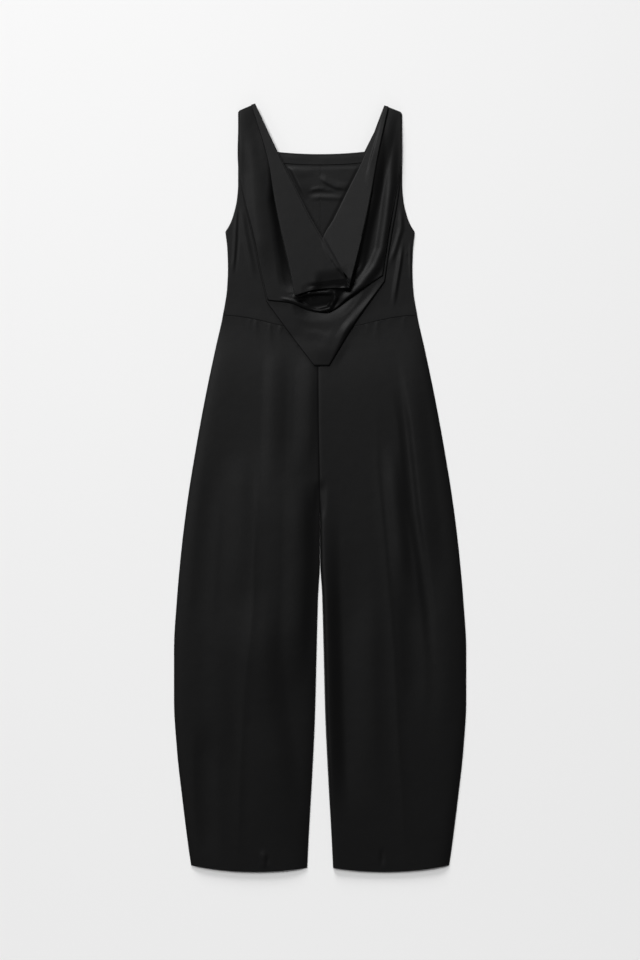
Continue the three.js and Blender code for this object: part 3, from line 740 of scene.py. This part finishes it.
def neck_gap(x, y):
    """How far inside the open neck a place lies, below nothing where the front covers it."""
    left_edge = np.interp(y, *zip(*NECK_OPEN_LEFT))
    right_edge = np.interp(y, *zip(*NECK_OPEN_RIGHT))
    under_facing = BACK_NECK_Y - FACING_DEPTH - 6
    return np.minimum(np.minimum(x - left_edge, right_edge - x), under_facing - y)


def back_bodice(side):
    """Rows from the waist to the neckline, then rows of the strap on its outer columns."""
    corner = BACK_NECK_HALF / float(armhole_half(BACK_NECK_Y))
    inner = edge_steps(50, 0.002) * corner
    outer = corner + edge_steps(34, 0.002)[1:] * (1 - corner)
    share = np.concatenate([inner, outer])[None, :]
    up = edge_steps(150, 0.001)[:, None]
    low = waist_y(share * WAIST_HALF) + SEAM / 2
    top_x = share * BACK_NECK_HALF / corner
    high = np.where(top_x < BACK_NECK_HALF, back_neck_y(top_x), BACK_NECK_Y)
    y = mix(low, high, up)
    half = np.where(y < ARMPIT_Y, side_half(y), armhole_half(y))
    x = np.maximum(share * half, SEAM / 2)
    body = np.stack([side * x, y], -1)
    strap = strap_rows(side, (share[0, len(inner) - 1:] - corner) / (1 - corner))
    body_count = body.shape[0] * body.shape[1]
    places = np.concatenate([body.reshape(-1, 2), strap.reshape(-1, 2)])
    below = np.arange(body_count - strap.shape[1], body_count)
    above = below + strap.shape[1]
    quads = np.concatenate([
        grid_quads(*body.shape[:2]),
        grid_quads(*strap.shape[:2], first=body_count),
        np.stack([below[:-1], below[1:], above[1:], above[:-1]], -1),
    ])
    shown = soften(neck_gap(places[:, 0], places[:, 1]) / SHOWN_REACH)
    lift = np.maximum(0, relief(BACK_CREASES, places[:, 0], places[:, 1]) + BACK_LIFT) * shown
    points = np.column_stack([places, CLOTH / 2 + lift])
    quads = face_up(points, quads)
    return cloth_shell("back_bodice_" + side_name(side) + "_cloth", points, quads, BACK_CLOTH)


def strap_rows(side, across):
    """The strap above the neckline's corner, from its inner edge to the armhole."""
    outline = np.array(STRAPS[side], float)
    knots = [0, 0.44, 0.83, 1]  # how far up the strap the points of its inner edge are
    rows = []
    for up in edge_steps(40, 0.004)[1:]:
        inner = np.array([np.interp(up, knots, outline[:4, axis]) for axis in (0, 1)])
        outer = mix(np.array([side * float(armhole_half(BACK_NECK_Y)), BACK_NECK_Y]), outline[4], up)
        rows.append(mix(inner, outer, across[:, None]))
    return np.array(rows)


def back_facing():
    """The facing, sewn flat at the neckline and a little loose at its lower edge."""
    down = edge_steps(11, 0.012)[:, None]
    across = edge_steps(90, 0.002)[None, :]
    x = mix(-FACING_HALF, FACING_HALF, across) * np.ones(down.shape)
    y = back_neck_y(x) - SEAM - down * (FACING_DEPTH - SEAM)
    lift = 0.5 * soften(down * 3) * (1 + ripple(x, y, 60, seed=9)) + relief(FACING_CREASES, x, y)
    z = 1.5 * CLOTH + 0.05 + 0.5 * lift * soften(down * 2)
    return flat_piece("back_neck_facing_cloth", x, y, z, FACING_CLOTH)


# Cloth
SPECULAR_LEVEL = 0.17
SHEEN_WEIGHT = 0.01
SHEEN_ROUGHNESS = 0.35
TONE_SPREAD = 0.18  # how much lighter and darker than its colour the cloth is in places
TONE_SCALE = 14
PRESS_SCALE = 38
PRESS_DEPTH = 0.0008
THREAD_SCALE = 600  # about 19 threads to a centimetre
THREAD_DEPTH = 0.00012


def cloth_material(name, colour, roughness):
    """Black dress crepe: a fine plain weave, a slow unevenness of tone and press, and a faint sheen."""
    material = bpy.data.materials.new(name)
    material.use_nodes = True
    nodes, links = material.node_tree.nodes, material.node_tree.links
    shader = nodes["Principled BSDF"]
    shader.inputs["Roughness"].default_value = roughness
    shader.inputs["Specular IOR Level"].default_value = SPECULAR_LEVEL
    shader.inputs["Sheen Weight"].default_value = SHEEN_WEIGHT
    shader.inputs["Sheen Roughness"].default_value = SHEEN_ROUGHNESS
    places = nodes.new("ShaderNodeTexCoord")
    tone = nodes.new("ShaderNodeTexNoise")
    tone.inputs["Scale"].default_value = TONE_SCALE
    tone.inputs["Detail"].default_value = 4
    links.new(places.outputs["Object"], tone.inputs["Vector"])
    ramp = nodes.new("ShaderNodeValToRGB")
    ramp.color_ramp.elements[0].color = (*[c * (1 - TONE_SPREAD) for c in colour], 1)
    ramp.color_ramp.elements[1].color = (*[c * (1 + TONE_SPREAD) for c in colour], 1)
    links.new(tone.outputs["Fac"], ramp.inputs["Fac"])
    links.new(ramp.outputs["Color"], shader.inputs["Base Color"])
    warp = weave_threads(nodes, links, places, "X")
    weft = weave_threads(nodes, links, places, "Y")
    weave = nodes.new("ShaderNodeMath")
    weave.operation = "MULTIPLY"
    links.new(warp.outputs["Fac"], weave.inputs[0])
    links.new(weft.outputs["Fac"], weave.inputs[1])
    threads = nodes.new("ShaderNodeBump")
    threads.inputs["Strength"].default_value = 0.25
    threads.inputs["Distance"].default_value = THREAD_DEPTH
    links.new(weave.outputs["Value"], threads.inputs["Height"])
    press = nodes.new("ShaderNodeTexNoise")
    press.inputs["Scale"].default_value = PRESS_SCALE
    press.inputs["Detail"].default_value = 2
    links.new(places.outputs["Object"], press.inputs["Vector"])
    pressed = nodes.new("ShaderNodeBump")
    pressed.inputs["Strength"].default_value = 0.3
    pressed.inputs["Distance"].default_value = PRESS_DEPTH
    links.new(press.outputs["Fac"], pressed.inputs["Height"])
    links.new(threads.outputs["Normal"], pressed.inputs["Normal"])
    links.new(pressed.outputs["Normal"], shader.inputs["Normal"])
    return material


def weave_threads(nodes, links, places, axis):
    wave = nodes.new("ShaderNodeTexWave")
    wave.bands_direction = axis
    wave.inputs["Scale"].default_value = THREAD_SCALE
    wave.inputs["Distortion"].default_value = 1.5
    wave.inputs["Detail"].default_value = 1
    links.new(places.outputs["Object"], wave.inputs["Vector"])
    return wave


# The dressed pieces
outer_cloth = cloth_material("black_crepe", (0.0020, 0.0020, 0.0021), 0.48)
inner_cloth = cloth_material("black_crepe_inside", (0.0019, 0.0019, 0.0020), 0.49)


def dress(piece, node, material):
    piece.data.materials.append(material)
    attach(piece, "root")
    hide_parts(node)


def dress_all():
    dress(front_bodice(), "front_bodice", outer_cloth)
    dress(back_facing(), "back_neck_facing", inner_cloth)
    for side in (-1, 1):
        name = side_name(side)
        dress(front_leg(side), "front_leg_" + name, outer_cloth)
        dress(back_leg(side), "back_leg_" + name, outer_cloth)
        dress(back_bodice(side), "back_bodice_" + name, inner_cloth)


# Floor, light and camera
FLOOR_REACH = 3.0
FLOOR_TONE = 0.85
FLOOR_ROUGHNESS = 0.9
KEY_FROM = (-0.42, 0.55, 1.0)
KEY_ANGLE = 16
KEY_POWER = 1.5
LOW_FROM = (-0.2, 1.0, 0.3)
LOW_ANGLE = 20
LOW_POWER = 3.3
NEAR_PLACE = (-1.0, 2.0, 2.6)
NEAR_AIM = (0.0, 0.35, 0.0)
NEAR_SIZE = 0.7
NEAR_POWER = 26
FILL_PLACE = (0.0, -3.0, 1.5)
FILL_AIM = (0.0, -0.7, 0.0)
FILL_POWER = 5
WORLD_POWER = 0.13
LENS = 85
SENSOR_WIDTH = 36
PHOTO_SIZE = (640, 960)


def floor():
    r = FLOOR_REACH
    mesh = bpy.data.meshes.new("floor")
    mesh.from_pydata([(-r, -r, 0), (r, -r, 0), (r, r, 0), (-r, r, 0)], [], [(0, 1, 2, 3)])
    plane = bpy.data.objects.new("floor", mesh)
    bpy.context.scene.collection.objects.link(plane)
    material = bpy.data.materials.new("pale_floor")
    material.use_nodes = True
    shader = material.node_tree.nodes["Principled BSDF"]
    shader.inputs["Base Color"].default_value = (FLOOR_TONE, FLOOR_TONE, FLOOR_TONE, 1)
    shader.inputs["Roughness"].default_value = FLOOR_ROUGHNESS
    mesh.materials.append(material)


def sun(name, comes_from, angle, power):
    """A far, broad light, as even over the floor as a big softbox at a distance."""
    light = bpy.data.lights.new(name, "SUN")
    light.angle = math.radians(angle)
    light.energy = power
    lamp = bpy.data.objects.new(name, light)
    lamp.rotation_euler = Vector(comes_from).to_track_quat("Z", "Y").to_euler()
    bpy.context.scene.collection.objects.link(lamp)


def softbox(name, place, aim, size, power):
    light = bpy.data.lights.new(name, "AREA")
    light.size = size
    light.energy = power
    lamp = bpy.data.objects.new(name, light)
    lamp.location = place
    lamp.rotation_euler = (Vector(place) - Vector(aim)).to_track_quat("Z", "Y").to_euler()
    lamp.visible_camera = False
    bpy.context.scene.collection.objects.link(lamp)


def light_and_camera():
    sun("key", KEY_FROM, KEY_ANGLE, KEY_POWER)
    sun("low", LOW_FROM, LOW_ANGLE, LOW_POWER)
    softbox("near", NEAR_PLACE, NEAR_AIM, NEAR_SIZE, NEAR_POWER)
    softbox("fill", FILL_PLACE, FILL_AIM, NEAR_SIZE, FILL_POWER)
    world = bpy.data.worlds.new("studio")
    world.use_nodes = True
    world.node_tree.nodes["Background"].inputs["Color"].default_value = (1, 1, 1, 1)
    world.node_tree.nodes["Background"].inputs["Strength"].default_value = WORLD_POWER
    bpy.context.scene.world = world
    bpy.context.scene.view_settings.view_transform = "Standard"
    camera = bpy.data.cameras.new("camera")
    camera.lens = LENS
    camera.sensor_width = SENSOR_WIDTH
    view_height = PHOTO_SIZE[1] * PIXEL * MM
    distance = view_height / 2 / (SENSOR_WIDTH / 2 / LENS)
    stand = bpy.data.objects.new("camera", camera)
    stand.location = (0, (CENTRE_PX[1] - PHOTO_SIZE[1] / 2) * PIXEL * MM, distance)
    bpy.context.scene.collection.objects.link(stand)
    bpy.context.scene.camera = stand


floor()
dress_all()
light_and_camera()
